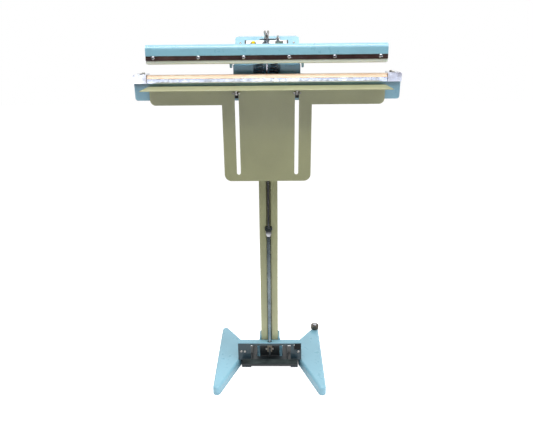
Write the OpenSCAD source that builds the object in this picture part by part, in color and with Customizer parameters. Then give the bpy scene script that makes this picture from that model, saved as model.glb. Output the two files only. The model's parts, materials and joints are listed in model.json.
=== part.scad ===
// Foot-operated impulse heat sealer on a column stand.
// Millimetres, +Z up, the operator stands at -Y.
// Origin: on the floor, under the middle of the machine.

/* [Sealing head] */
// Height of the sealing line above the floor
seal_z = 955; // [930:1:970]
// Length of the upper jaw
jaw_length = 618; // [580:2:622]
// Angle that the upper jaw swings through to close
jaw_angle = 8.4; // [6:0.1:8.4]
// Distance from the middle of the machine back to the jaw hinge
hinge_y = 105; // [100:1:110]
// Number of screws along the upper jaw
jaw_screw_count = 6; // [4:2:8]
// Spacing of the upper jaw screws
jaw_screw_pitch = 116; // [70:1:120]
// Overall length of the lower beam
beam_length = 696; // [690:2:710]

/* [Housing] */
// Width of the housing
housing_w = 180; // [176:2:184]
// Front face of the housing, behind the middle of the machine when positive
housing_front = -35; // [-36:1:-34]
// Rear opening of the housing
housing_rear = 176; // [170:1:180]
// Sheet thickness of the housing
housing_t = 2; // [1.5:0.5:2.5]
// Width of the spring recess in the housing front
recess_w = 72; // [66:2:76]

/* [Stand] */
// Width over both feet
base_w = 350; // [340:2:370]
// Length of each foot, front to back
foot_length = 336; // [320:2:360]
// Height of the feet
foot_h = 31; // [28:1:34]
// Width of the waist between the feet
waist_w = 190; // [188:1:194]
// Sheet thickness of the feet
foot_t = 2.5; // [2:0.5:3]
// Height of the crossmember's top flange
cross_h = 99; // [96:1:104]
// Width of the column
column_w = 55; // [50:1:56]
// Depth of the column
column_d = 40; // [36:1:44]
// Width of the groove in the column front
groove_w = 14; // [10:1:18]

/* [Pedal and pull rod] */
// Distance of the pull rod in front of the middle of the machine
rod_y = -23; // [-23:1:-22]
// Distance from the middle of the machine back to the pedal pivot
pedal_pivot_y = 68; // [67:1:69]
// Height of the pedal pivot
pedal_pivot_z = 30; // [29:1:31]
// Width of the pedal tread
tread_w = 184; // [176:2:186]
// Front edge of the pedal tread
tread_front = -58; // [-60:1:-54]
// Diameter of the lower pull tube
tube_d = 10.5; // [9:0.5:10.5]
// Diameter of the upper pull rod
rod_d = 6; // [5:0.5:6]

/* [Work table] */
// Width of the table shelf
table_w = 618; // [560:2:640]
// Front edge of the table shelf
table_front = -186; // [-190:1:-180]
// Width of the table stem
stem_w = 238; // [200:2:250]
// Length of the table, from the shelf to the foot of the stem
stem_drop = 260; // [200:2:280]
// Distance between the two adjustment slots
slot_pitch = 159; // [150:1:165]
// Width of the adjustment slots
slot_w = 10.6; // [10:0.2:12]

/* [Hidden] */
$fn = 48;
blue = [0.55, 0.76, 0.84];
cream = [0.78, 0.80, 0.63];
chrome = [0.82, 0.83, 0.85];
steel = [0.62, 0.63, 0.65];
slate = [0.27, 0.31, 0.33];
black = [0.10, 0.10, 0.11];
brass = [0.78, 0.62, 0.30];
tan = [0.90, 0.74, 0.58];

// Running clearance of a shaft in its bush, and the gap left between bodies
fit = 0.05;
gap = 0.4;

// Heights in the head are measured from the sealing line
hinge_z = 30;
floor_z = -70;
floor_t = 3;
deck_z = 20;
roof_z = 89;
roof_r = 6;
slope_foot = [22, 25];
slope_top = [80, 89];
slope_tilt = atan2(slope_top[1] - slope_foot[1], slope_top[0] - slope_foot[0]);
recess_floor = -50;
recess_back = -7;
shaft_r = 6;
bush_r = 9;
arm_x = housing_w / 2 + 3;
arm_t = 5;

// Lower jaw: beam, sealing bar and its coverings
beam_front = -82;
beam_back = housing_front - 1;
beam_floor = -65;
beam_roof = -20;
bar_half = jaw_length / 2 + 2.5;
bar_front = -92;
bar_back = -56;
bar_step = -9;
seal_y = -74;
cap_x = jaw_length / 2 + 3;

// Upper jaw, drawn closed and level
cover_front = -96;
cover_back = -54;
cover_z = 19;
cover_h = 29;
strip_z = 8;

// Yoke, drawn closed and level
web_z = 30;
web_t = 3;
web_back = -6;

// Table: the shelf's top face and the wing bolts
shelf_z = -28;
sheet_t = 1.5;
table_y = -85;
bolt_z = -46;
bolt_r = 4;

// Pull rod heights, measured from the floor
pin_z = 70;
pin_r = 3;
tube_foot = 80;
clevis_top = 87;
coupling_z = 474;
adjuster_z = 494;
adjuster_h = 9;
plate_z = seal_z + 83;
plate_t = 3;
rod_top = seal_z + 101;
spring_r = 10.75;
spring_wire = 2.5;
spring_x = 19;

// Front face of the column
column_front = -9;

// Crossmember face, window and cheeks
face_y = -31;
face_t = 3;
cheek_x = waist_w / 2 - 5;
cheek_back = 82;
window_top = 88;
skirt_z = 2;
foot_fillet = 8;
tip_r = 12;
waist_r = 9;
tip_x = base_w / 2 - tip_r;
tip_y = foot_length / 2 - tip_r;
level_pos = [tip_x - 1, tip_y + 1];
rubber_pos = [[-tip_x, -tip_y], [-tip_x, tip_y], [tip_x, -tip_y], [tip_x - 16, tip_y - 34]];

// Bolts along the waist that hold the feet, and X and Z of each screw on the crossmember's face
foot_bolt_y = [10, 60];
foot_bolt_z = 17;
foot_bolt_r = 3;
face_screws = [[-94, 66], [-82, 65], [94, 65]];

// Pedal: the two arms, the height of the tread's top face and the sheet
arm_in = 44;
arm_out = 60;
pedal_top = 36;
pedal_t = 3;
tread_lip = 7;
arm_top = 56;
ear_back = column_front - 3.6;

// Controls on the slope: X and distance up the slope, then with the radius of each hole
lamp_at = [-39, 60];
knob_at = [-4, 50];
rocker_at = [34, 56];
panel_holes = [[lamp_at[0], lamp_at[1], 5], [knob_at[0], knob_at[1], 4], [rocker_at[0], rocker_at[1], 7]];
panel_t = 1.6;
rocker_pivot = 3.8;
rocker_pin_r = 0.9;
slope_screws = [[-75, 24], [75, 24], [-75, 64], [75, 64]];
slope_screw_r = 1.2;

// Rear of the housing: mains inlet, fuse and cover screws
inlet_x = 45;
inlet_z = -40;
fuse_x = -45;
rear_limit = -table_front;
cover_screws = [[-82, -62], [82, -62], [-82, 76], [82, 76]];

// Screws along the upper jaw, and those through the terminal covers
jaw_screw_z = strip_z + 5.2;
terminal_y = [-84, -60];

// Switch on the yoke's web, and its plunger
switch_x = 30;
switch_h = 20;
plunger_r = 1.8;

// ---- shared shapes ----

// Places a part measured from the sealing line
module at_head() translate([0, 0, seal_z]) children();

// Swings a part drawn level, with the jaw closed, up to its open rest position
module opened()
    translate([0, hinge_y, seal_z + hinge_z])
        rotate([-jaw_angle, 0, 0])
            translate([0, -hinge_y, -hinge_z])
                children();

// Places a part on the sloping face of the housing: X across, Y up the slope, Z out
module on_slope()
    translate([0, slope_foot[0], seal_z + slope_foot[1]])
        rotate([slope_tilt, 0, 0])
            children();

// Extrudes a Y-Z outline along X, centred
module along_x(length)
    rotate([90, 0, 90]) linear_extrude(height = length, center = true) children();

// Extrudes an X-Z outline along Y, from y0 to y1
module along_y(y0, y1)
    translate([0, y1, 0]) rotate([90, 0, 0]) linear_extrude(height = y1 - y0) children();

// A cylinder along X, centred on x
module x_rod(x, y, z, r, length)
    translate([x, y, z]) rotate([0, 90, 0]) cylinder(r = r, h = length, center = true);

// A cylinder along Y from y0 to y1
module y_rod(x, z, r, y0, y1)
    translate([x, y1, z]) rotate([90, 0, 0]) cylinder(r = r, h = y1 - y0);

// X of each screw along the upper jaw
function jaw_screw_x(i) = (i - (jaw_screw_count - 1) / 2) * jaw_screw_pitch;

// A box given by its lowest and highest corners
module box(low, high) translate(low) cube(high - low);

// A rectangle with its two upper corners rounded
module top_rounded(x0, x1, z0, z1, r0, r1) {
    difference() {
        translate([x0, z0]) square([x1 - x0, z1 - z0]);
        translate([x0, z1 - r0]) square([r0, r0]);
        translate([x1 - r1, z1 - r1]) square([r1, r1]);
    }
    intersection() {
        translate([x0, z1 - r0]) square([r0, r0]);
        translate([x0 + r0, z1 - r0]) circle(r0);
    }
    intersection() {
        translate([x1 - r1, z1 - r1]) square([r1, r1]);
        translate([x1 - r1, z1 - r1]) circle(r1);
    }
}

// A rectangle with its two lower corners rounded
module bottom_rounded(x0, x1, z0, z1, r)
    mirror([0, 1]) top_rounded(x0, x1, -z1, -z0, r, r);

// An upright slot outline, from the lower end's centre to the upper end's centre
module slot_outline(z0, z1, r) {
    translate([0, z0]) circle(r);
    translate([0, z1]) circle(r);
    translate([-r, z0]) square([2 * r, z1 - z0]);
}

// A pan-head screw: head from the origin outwards along +Z, shank along -Z
module pan_screw(head_r, head_h, shank_r, shank) {
    difference() {
        union() {
            cylinder(r = head_r, h = head_h * 0.5);
            translate([0, 0, head_h * 0.5]) cylinder(r1 = head_r, r2 = head_r * 0.72, h = head_h * 0.5);
        }
        translate([0, 0, head_h]) cube([head_r * 1.1, head_r * 0.22, head_h * 0.7], center = true);
        translate([0, 0, head_h]) cube([head_r * 0.22, head_r * 1.1, head_h * 0.7], center = true);
    }
    translate([0, 0, -shank]) cylinder(r = shank_r, h = shank);
}

// A hexagon-head bolt, head along +Z
module hex_bolt(head_r, head_h, shank_r, shank) {
    cylinder(r = head_r, h = head_h, $fn = 6);
    translate([0, 0, -shank]) cylinder(r = shank_r, h = shank);
}

// One ring of points of a coil's wire, at helix angle a
function coil_ring(r, wire_r, pitch, a, sides) =
    let (lead = atan2(pitch, 360 * r * PI / 180))
    [for (i = [0 : sides - 1])
        let (b = 360 * i / sides, out = r + wire_r * cos(b))
        [out * cos(a) + wire_r * sin(b) * sin(lead) * sin(a),
         out * sin(a) - wire_r * sin(b) * sin(lead) * cos(a),
         pitch * a / 360 + wire_r * sin(b) * cos(lead)]];

// A coil spring standing on z = 0, height h over the wire
module coil(r, wire, h, turns, steps = 16, sides = 6) {
    pitch = (h - wire) / turns;
    count = turns * steps;
    points = [for (k = [0 : count]) each coil_ring(r, wire / 2, pitch, 360 * k / steps, sides)];
    skin = [for (k = [0 : count - 1]) for (i = [0 : sides - 1])
        let (j = (i + 1) % sides)
        [k * sides + i, (k + 1) * sides + i, (k + 1) * sides + j, k * sides + j]];
    foot = [for (i = [0 : sides - 1]) i];
    head = [for (i = [sides - 1 : -1 : 0]) count * sides + i];
    translate([0, 0, wire / 2]) polyhedron(points, concat(skin, [foot, head]), convexity = 8);
}

// ---- stand ----

// A post with a rounded top edge, the corner of a pressed foot
module corner_post(x, y, r, h, fillet)
    translate([x, y, 0])
        rotate_extrude($fn = 32)
            intersection() {
                square([r, h]);
                union() {
                    square([r, h - fillet]);
                    square([r - fillet, h]);
                    translate([r - fillet, h - fillet]) circle(fillet, $fn = 24);
                }
            }

// The full form of the left foot, drawn in by `inset` on every side
module foot_form(inset, h)
    hull() {
        corner_post(-tip_x, -tip_y, tip_r - inset, h, foot_fillet - inset);
        corner_post(-tip_x, tip_y, tip_r - inset, h, foot_fillet - inset);
        corner_post(-waist_w / 2 - waist_r, -12, waist_r - inset, h, foot_fillet - inset);
        corner_post(-waist_w / 2 - waist_r, 78, waist_r - inset, h, foot_fillet - inset);
    }

module foot_shell()
    difference() {
        translate([0, 0, skirt_z]) foot_form(0, foot_h - skirt_z);
        translate([0, 0, -1]) foot_form(foot_t, foot_h - foot_t + 1);
        for (y = foot_bolt_y) x_rod(-waist_w / 2, y, foot_bolt_z, foot_bolt_r + fit, 14);
    }

module left_foot() color(blue) foot_shell();

module right_foot()
    color(blue)
        difference() {
            union() {
                mirror([1, 0, 0]) foot_shell();
                translate([level_pos[0], level_pos[1], foot_h - 14]) cylinder(r = 8, h = 12);
            }
            translate([level_pos[0], level_pos[1], -1]) cylinder(r = 4 + fit, h = foot_h + 2);
        }

module crossmember()
    color(blue)
        difference() {
            union() {
                box([-cheek_x - face_t, face_y, skirt_z + 1], [cheek_x + face_t, face_y + face_t, cross_h]);
                box([-104, face_y, foot_h + 2], [104, face_y + face_t, cross_h]);
                box([-108, face_y, cross_h - face_t], [104, face_y + 17, cross_h]);
                for (side = [-1, 1])
                    translate([side * (cheek_x + face_t / 2), 0, 0])
                        along_x(face_t)
                            polygon([[face_y, 3], [cheek_back, 3], [cheek_back, 32],
                                [pedal_pivot_y + 5, 40], [face_y, 52]]);
            }
            box([-62, face_y - 1, 0], [69, face_y + face_t + 1, window_top]);
            box([80, face_y - 1, 71], [105, face_y + face_t + 1, cross_h - face_t]);
            translate([0, rod_y, window_top - 1]) cylinder(r = tube_d / 2 + 2, h = 20);
            x_rod(0, pedal_pivot_y, pedal_pivot_z, 5 + fit, 200);
            for (y = foot_bolt_y) x_rod(0, y, foot_bolt_z, foot_bolt_r + fit, 200);
            for (p = face_screws) y_rod(p[0], p[1], 2 + fit, face_y - 1, face_y + face_t + 1);
        }

module base_plate()
    color(blue)
        union() {
            box([-cheek_x, -26, 3], [cheek_x, cheek_back, 8]);
            box([-33, column_front - 3, 8], [33, column_front, cross_h - 4]);
            for (side = [-1, 1]) {
                box([side > 0 ? column_w / 2 : -33, column_front - 1, 8],
                    [side > 0 ? 33 : -column_w / 2, 27, 108]);
                translate([side * 33, 0, 0])
                    mirror([side < 0 ? 1 : 0, 0, 0])
                        along_y(6, 9)
                            polygon([[0, 8], [9, 8], [9, 60], [0, 92]]);
            }
        }

// A lipped channel with its groove to the front, and the plate that carries the head
module column() {
    wall = 2;
    top = seal_z + floor_z - floor_t;
    color(cream)
        union() {
            translate([0, 0, 8])
                linear_extrude(height = top - 12)
                    difference() {
                        translate([-column_w / 2, column_front]) square([column_w, column_d]);
                        translate([-column_w / 2 + wall, column_front + wall])
                            square([column_w - 2 * wall, column_d - 2 * wall]);
                        translate([-groove_w / 2, column_front - 1]) square([groove_w, wall + 2]);
                    }
            for (side = [-1, 1])
                box([side > 0 ? groove_w / 2 : -groove_w / 2 - wall, column_front, 8],
                    [side > 0 ? groove_w / 2 + wall : -groove_w / 2, column_front + 12, top - 4]);
            box([-45, column_front, top - 4], [45, 60, top]);
        }
}

module base_bolts() {
    color(steel)
        for (side = [-1, 1], y = foot_bolt_y)
            mirror([side < 0 ? 1 : 0, 0, 0])
                translate([cheek_x, y, foot_bolt_z])
                    rotate([0, -90, 0])
                        hex_bolt(5.5, 4, foot_bolt_r, 12);
    color(chrome)
        for (p = face_screws)
            translate([p[0], face_y, p[1]])
                rotate([90, 0, 0])
                    pan_screw(4.2, 3, 2, face_t + 0.9);
}

module rubber_feet()
    color(black)
        for (p = rubber_pos)
            translate([p[0], p[1], 0]) {
                cylinder(r1 = 8, r2 = 8.6, h = 6);
                translate([0, 0, 6]) cylinder(r = 8.6, h = 15);
                translate([0, 0, 21]) cylinder(r = 4, h = foot_h - foot_t - 21);
            }

// Knurled by a ring of shallow grooves
module levelling_screw() {
    head_r = 14;
    head_h = 13;
    grooves = 26;
    color(steel)
        translate([level_pos[0], level_pos[1], 0]) {
            difference() {
                translate([0, 0, foot_h + 2]) cylinder(r = head_r, h = head_h);
                for (i = [0 : grooves - 1])
                    rotate([0, 0, 360 * i / grooves])
                        translate([head_r + 0.5, 0, foot_h + 4]) cylinder(r = 1.1, h = head_h - 4, $fn = 13);
            }
            translate([0, 0, 4]) cylinder(r = 4, h = foot_h - 2);
            translate([0, 0, 0.4]) cylinder(r = 7, h = 3.6);
        }
}

// ---- pedal ----

module pedal_plate()
    color(slate)
        difference() {
            union() {
                // Tread with a folded front edge
                box([-tread_w / 2, tread_front, pedal_top - pedal_t], [tread_w / 2, face_y - 4, pedal_top]);
                box([-tread_w / 2, tread_front, pedal_top - tread_lip],
                    [tread_w / 2, tread_front + pedal_t, pedal_top]);
                // Bridge through the crossmember's window, and the two arms
                box([-arm_out, face_y - 5, pedal_top - pedal_t], [arm_out, column_front - 7, pedal_top]);
                for (side = [-1, 1]) {
                    translate([side * (arm_in + arm_out) / 2, 0, 0])
                        along_x(arm_out - arm_in)
                            polygon([
                                [column_front - 8, pedal_top - pedal_t],
                                [column_front - 8, pedal_top],
                                [pedal_pivot_y - 12, pedal_pivot_z + 1],
                                [pedal_pivot_y - 12, pedal_pivot_z - 2]
                            ]);
                    translate([side * (arm_out - pedal_t / 2), 0, 0])
                        along_x(pedal_t) {
                            polygon([
                                [face_y - 5, pedal_top - pedal_t],
                                [face_y - 5, pedal_top + 2],
                                [-26, arm_top],
                                [-6, arm_top + 2],
                                [pedal_pivot_y + 4, pedal_pivot_z + 9.6],
                                [pedal_pivot_y - 4, pedal_pivot_z - 9.6],
                                [20, pedal_top - 12],
                                [column_front - 7, pedal_top - pedal_t - 2]
                            ]);
                            translate([pedal_pivot_y, pedal_pivot_z]) circle(10.5);
                        }
                }
                // Forked ear that hooks over the pull rod's pin
                along_x(6)
                    polygon([
                        [rod_y - 7, pedal_top - 1],
                        [rod_y - 7, pin_z + 6.5],
                        [ear_back, pin_z + 6.5],
                        [ear_back, pin_z - 7],
                        [rod_y + 5, pin_z - 16],
                        [rod_y + 5, pedal_top - 1]
                    ]);
            }
            x_rod(0, rod_y - 0.5, pin_z, pin_r + 0.7, 8);
            box([-4, rod_y - 0.5, pin_z - pin_r - 0.7], [4, ear_back + 1, pin_z + pin_r + 0.7]);
            for (side = [-1, 1])
                x_rod(side * arm_out, pedal_pivot_y, pedal_pivot_z, 7.5 + fit, 8);
        }

// Ribbed rubber pad on the tread
module pedal_pad() {
    ribs = 5;
    pad_front = tread_front + 1;
    pad_depth = 20;
    pad_half = tread_w / 2 - 3;
    rib_w = pad_depth / (2 * ribs - 1);
    color(slate)
        union() {
            box([-pad_half, pad_front, pedal_top], [pad_half, pad_front + pad_depth, pedal_top + 1.6]);
            for (i = [0 : ribs - 1])
                translate([-pad_half, pad_front + 2 * i * rib_w, pedal_top + 1])
                    cube([2 * pad_half, rib_w, 2]);
        }
}

module pedal_bushes()
    color(brass)
        for (side = [-1, 1])
            difference() {
                x_rod(side * (arm_out - 4), pedal_pivot_y, pedal_pivot_z, 7.5, 14);
                x_rod(side * (arm_out - 4), pedal_pivot_y, pedal_pivot_z, 5 + fit, 16);
            }

module pedal_pivot_pin()
    color(steel) x_rod(0, pedal_pivot_y, pedal_pivot_z, 5, 2 * (cheek_x + face_t + 1));

// Spring clips on the ends of the jaw's hinge shaft
module retaining_clips()
    color(steel)
        for (side = [-1, 1])
            difference() {
                x_rod(side * (arm_x + arm_t + 3.6), hinge_y, seal_z + hinge_z, shaft_r + 4, 1.2);
                x_rod(side * (arm_x + arm_t + 3.6), hinge_y, seal_z + hinge_z, shaft_r, 3);
                translate([side * (arm_x + arm_t + 3.6), hinge_y, seal_z + hinge_z - 8])
                    cube([3, 7, 12], center = true);
            }

// ---- pull rod ----

module rod_clevis()
    color(chrome)
        difference() {
            translate([0, rod_y, 0]) box([-8, -6, 62], [8, 6, clevis_top]);
            translate([0, rod_y, 0]) box([-3.6, -7, 61], [3.6, 7, 79]);
            translate([0, rod_y, tube_foot]) cylinder(r = tube_d / 2 + fit, h = 20);
            x_rod(0, rod_y, pin_z, pin_r + fit, 20);
        }

module clevis_pin()
    color(steel)
        union() {
            x_rod(0, rod_y, pin_z, pin_r, 21);
            x_rod(-11.5, rod_y, pin_z, 4.5, 2.4);
            x_rod(11.2, rod_y, pin_z, 4.5, 1.4);
        }

module lower_rod()
    color(chrome)
        translate([0, rod_y, tube_foot])
            difference() {
                cylinder(r = tube_d / 2, h = coupling_z + 4 - tube_foot);
                translate([0, 0, 20]) cylinder(r = rod_d / 2 + 0.6, h = coupling_z);
            }

// Chrome cup that closes the tube around the rod
module rod_coupling()
    color(chrome)
        translate([0, rod_y, coupling_z])
            difference() {
                union() {
                    cylinder(r1 = tube_d / 2 + 1, r2 = 9, h = 9);
                    translate([0, 0, 9]) cylinder(r = 9, h = 11);
                }
                translate([0, 0, -1]) cylinder(r = tube_d / 2 + fit, h = 5.2);
                translate([0, 0, -1]) cylinder(r = rod_d / 2 + fit, h = 30);
            }

// Knurled ring that locks the rod at its length
module rod_adjuster() {
    ring_r = 11.4;
    grooves = 18;
    color(slate)
        translate([0, rod_y, adjuster_z + gap])
            difference() {
                cylinder(r = ring_r, h = adjuster_h);
                translate([0, 0, -1]) cylinder(r = rod_d / 2 + fit, h = adjuster_h + 2);
                for (i = [0 : grooves - 1])
                    rotate([0, 0, 360 * i / grooves])
                        translate([ring_r + 0.4, 0, 1.5]) cylinder(r = 1.1, h = adjuster_h - 3, $fn = 13);
            }
}

module upper_rod()
    color(chrome)
        translate([0, rod_y, coupling_z - 70]) cylinder(r = rod_d / 2, h = rod_top - coupling_z + 70);

module pressure_spring()
    color(slate)
        translate([0, rod_y, plate_z - 26.5]) coil(6.6, 2.2, 26.4, 5, 14);

// Bridge bar on the rod that carries the switch screw
module pressure_plate()
    color(chrome)
        difference() {
            translate([0, rod_y, plate_z])
                linear_extrude(height = plate_t)
                    union() {
                        translate([-12, 0]) circle(7);
                        translate([switch_x, 0]) circle(7);
                        translate([-12, -7]) square([switch_x + 12, 14]);
                    }
            translate([0, rod_y, plate_z - 1]) cylinder(r = rod_d / 2 + fit, h = plate_t + 2);
            translate([switch_x, rod_y, plate_z - 1]) cylinder(r = 2 + fit, h = plate_t + 2);
        }

module pressure_wing_nut() {
    hub_z = plate_z + plate_t + gap;
    color(steel)
        translate([0, rod_y, hub_z])
            rotate([0, 0, 66])
                difference() {
                    union() {
                        cylinder(r1 = 7, r2 = 5.4, h = 10);
                        for (side = [-1, 1])
                            hull() {
                                translate([side * 4, 0, 4])
                                    rotate([90, 0, 0]) cylinder(r = 3, h = 3, center = true);
                                translate([side * 10, 0, 15.6])
                                    rotate([90, 0, 0]) cylinder(r = 5, h = 2.4, center = true);
                            }
                    }
                    translate([0, 0, -1]) cylinder(r = rod_d / 2 + fit, h = 30);
                }
}

module switch_screw()
    color(steel)
        translate([switch_x, rod_y, 0]) {
            translate([0, 0, seal_z + 75.8]) cylinder(r = 2, h = 18);
            translate([0, 0, plate_z + plate_t]) cylinder(r = 4.2, h = 3.2, $fn = 6);
            translate([0, 0, plate_z - 3.2]) cylinder(r = 4.2, h = 3.2, $fn = 6);
        }

// ---- housing ----

// Side outline of the housing, in Y and Z, drawn in by `inset`
module housing_side(inset)
    polygon([
        [housing_front + inset, floor_z - 1],
        [housing_rear + (inset > 0 ? 5 : 0), floor_z - 1],
        [housing_rear + (inset > 0 ? 5 : 0), roof_z - inset],
        [slope_top[0] + inset * tan(slope_tilt / 2), roof_z - inset],
        [slope_foot[0] + inset * tan(slope_tilt / 2), slope_foot[1] - inset],
        [slope_foot[0] + inset, deck_z - inset],
        [housing_front + inset, deck_z - inset]
    ]);

// Front outline of the housing, in X and Z, with rounded upper corners
module housing_outline(inset)
    top_rounded(-housing_w / 2 + inset, housing_w / 2 - inset, floor_z - (inset > 0 ? 5 : 0),
        roof_z - inset, roof_r - inset, roof_r - inset);

module housing_form(inset)
    intersection() {
        along_x(housing_w + 10) housing_side(inset);
        along_y(housing_front - 5, housing_rear + 10) housing_outline(inset);
    }

// A hole through the sloping face, measured from the sealing line
module slope_hole(x, up, r)
    translate([0, slope_foot[0], slope_foot[1]])
        rotate([slope_tilt, 0, 0])
            translate([x, up, -4]) cylinder(r = r, h = 8);

module body_housing()
    color(blue)
        at_head()
            difference() {
                union() {
                    difference() {
                        intersection() {
                            housing_form(0);
                            box([-200, -200, floor_z], [200, housing_rear, 200]);
                        }
                        housing_form(housing_t);
                    }
                    // Walls of the spring recess
                    intersection() {
                        box([-recess_w / 2 - housing_t, housing_front, recess_floor - housing_t],
                            [recess_w / 2 + housing_t, recess_back + housing_t, deck_z]);
                        housing_form(0);
                    }
                }
                box([-recess_w / 2, housing_front - 1, recess_floor],
                    [recess_w / 2, recess_back, deck_z + 1]);
                translate([0, rod_y, recess_floor - 5]) cylinder(r = rod_d / 2 + 2, h = 10);
                x_rod(0, hinge_y, hinge_z, shaft_r + fit, housing_w + 20);
                for (p = panel_holes) slope_hole(p[0], p[1], p[2]);
                for (p = slope_screws) slope_hole(p[0], p[1], slope_screw_r + fit);
            }

module rear_cover()
    color(blue)
        at_head()
            difference() {
                along_y(housing_rear, housing_rear + housing_t) housing_outline(0);
                box([inlet_x - 14, housing_rear - 1, inlet_z - 10],
                    [inlet_x + 14, housing_rear + 3, inlet_z + 10]);
                y_rod(fuse_x, inlet_z, 6 + fit, housing_rear - 1, housing_rear + 3);
                for (p = cover_screws) y_rod(p[0], p[1], 1.6, housing_rear - 1, housing_rear + 3);
                for (i = [0 : 6])
                    box([-30, housing_rear - 1, 20 + 7 * i], [30, housing_rear + 3, 22.5 + 7 * i]);
            }

module body_floor()
    color(blue)
        at_head()
            difference() {
                box([-housing_w / 2, housing_front, floor_z - floor_t],
                    [housing_w / 2, housing_rear + housing_t, floor_z]);
                translate([0, rod_y, floor_z - 10]) cylinder(r = rod_d / 2 + 2, h = 20);
            }

module control_panel()
    color("white")
        on_slope()
            difference() {
                box([-61, 18, 0], [57, 72, panel_t]);
                for (p = panel_holes) translate([p[0], p[1], -1]) cylinder(r = p[2] + fit, h = 4);
            }

module housing_screws() {
    color(chrome)
        at_head()
            for (p = cover_screws)
                translate([p[0], housing_rear + housing_t, p[1]])
                    rotate([-90, 0, 0])
                        pan_screw(3.4, 2.2, 1.5, 8);
    color(chrome)
        on_slope()
            for (p = slope_screws)
                translate([p[0], p[1], 0]) pan_screw(3, 1.8, slope_screw_r, 5);
}

module indicator_lamp()
    color("gold")
        on_slope()
            translate([lamp_at[0], lamp_at[1], -14])
                union() {
                    cylinder(r = 4.9, h = 20);
                    translate([0, 0, 20])
                        intersection() {
                            sphere(4.9);
                            translate([-6, -6, 0]) cube([12, 12, 8]);
                        }
                }

module panel_bezels() {
    color([0.45, 0.22, 0.12])
        on_slope()
            translate([lamp_at[0], lamp_at[1], panel_t])
                difference() {
                    cylinder(r1 = 8.2, r2 = 7.2, h = 3);
                    translate([0, 0, -1]) cylinder(r = 4.95, h = 6);
                }
    color(black)
        on_slope()
            translate([rocker_at[0], rocker_at[1], 0])
                difference() {
                    union() {
                        translate([-11, -9.5, panel_t]) cube([22, 19, 3.4]);
                        translate([0, 0, -16]) cylinder(r = 6.9, h = 16 + panel_t);
                    }
                    translate([-8.5, -6.5, panel_t]) cube([17, 13, 4]);
                    translate([-4, -4, -2]) cube([8, 8, 6]);
                    x_rod(0, 0, rocker_pivot, rocker_pin_r + fit, 19);
                }
    color(black)
        on_slope()
            for (x = [-61, 57])
                translate([x - 2, 18, panel_t]) cube([4, 54, 1]);
}

module timer_knob() {
    knob_r = 10.5;
    flutes = 12;
    color(black)
        on_slope()
            translate([knob_at[0], knob_at[1], 0])
                union() {
                    difference() {
                        translate([0, 0, panel_t + gap]) cylinder(r1 = knob_r, r2 = knob_r - 1.5, h = 12);
                        for (i = [0 : flutes - 1])
                            rotate([0, 0, 360 * i / flutes])
                                translate([knob_r + 0.6, 0, 5]) cylinder(r = 1.6, h = 12, $fn = 13);
                        translate([-0.7, 2, 13.2]) cube([1.4, 8, 2]);
                    }
                    translate([0, 0, -8]) cylinder(r = 3, h = 12);
                }
}

// The rocker turns on its pin, held in the sides of the bezel
module power_rocker()
    color([0.05, 0.30, 0.16])
        on_slope()
            translate([rocker_at[0], rocker_at[1], rocker_pivot])
                union() {
                    along_x(16) polygon([[-5.6, -0.4], [5.6, -0.4], [5.6, 1.6], [0, 1.1], [-5.6, 3.2]]);
                    x_rod(0, 0, 0, rocker_pin_r, 18.4);
                }

module transformer_core()
    color(steel)
        at_head()
            translate([0, 92, floor_z])
                difference() {
                    translate([-38, -20, 3]) cube([76, 40, 62]);
                    for (side = [-1, 1])
                        translate([side * 19, 0, 34]) cube([18.4, 50, 36.4], center = true);
                    for (x = [-33, 33], z = [8, 60])
                        translate([x, 0, z]) rotate([90, 0, 0]) cylinder(r = 2.2, h = 60, center = true);
                }

module transformer_coil()
    color([0.72, 0.48, 0.22])
        at_head()
            translate([0, 92, floor_z + 34])
                difference() {
                    cube([56, 66, 36], center = true);
                    cube([20, 40.2, 50], center = true);
                }

module timer_board() {
    color([0.10, 0.42, 0.20])
        at_head() box([-60, 144, -62], [60, 145.6, 10]);
    color(black)
        at_head() {
            box([-50, 130, -40], [-22, 144, -24]);
            box([-10, 134, -52], [18, 144, -38]);
            for (x = [28, 42]) y_rod(x, -20, 5.5, 128, 144);
        }
}

module power_inlet()
    color(black)
        at_head()
            difference() {
                union() {
                    box([inlet_x - 20, housing_rear + housing_t, inlet_z - 14],
                        [inlet_x + 20, rear_limit, inlet_z + 14]);
                    box([inlet_x - 13.8, housing_rear - 22, inlet_z - 9.8],
                        [inlet_x + 13.8, housing_rear + housing_t, inlet_z + 9.8]);
                }
                box([inlet_x - 11.5, housing_rear - 10, inlet_z - 7.5],
                    [inlet_x + 11.5, rear_limit + 1, inlet_z + 7.5]);
            }

module fuse_holder()
    color(black)
        at_head()
            union() {
                y_rod(fuse_x, inlet_z, 9, housing_rear + housing_t, rear_limit - 1);
                y_rod(fuse_x, inlet_z, 6, housing_rear - 26, housing_rear + housing_t);
            }

module hinge_shaft()
    color(steel)
        x_rod(0, hinge_y, seal_z + hinge_z, shaft_r, 2 * (arm_x + arm_t + 6));

// ---- jaw ----

module hinge_bushes()
    color(brass)
        for (side = [-1, 1])
            difference() {
                x_rod(side * (arm_x + arm_t / 2 + 0.1), hinge_y, seal_z + hinge_z, bush_r, arm_t + 3);
                x_rod(side * (arm_x + arm_t / 2 + 0.1), hinge_y, seal_z + hinge_z, shaft_r + fit, arm_t + 5);
            }

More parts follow.
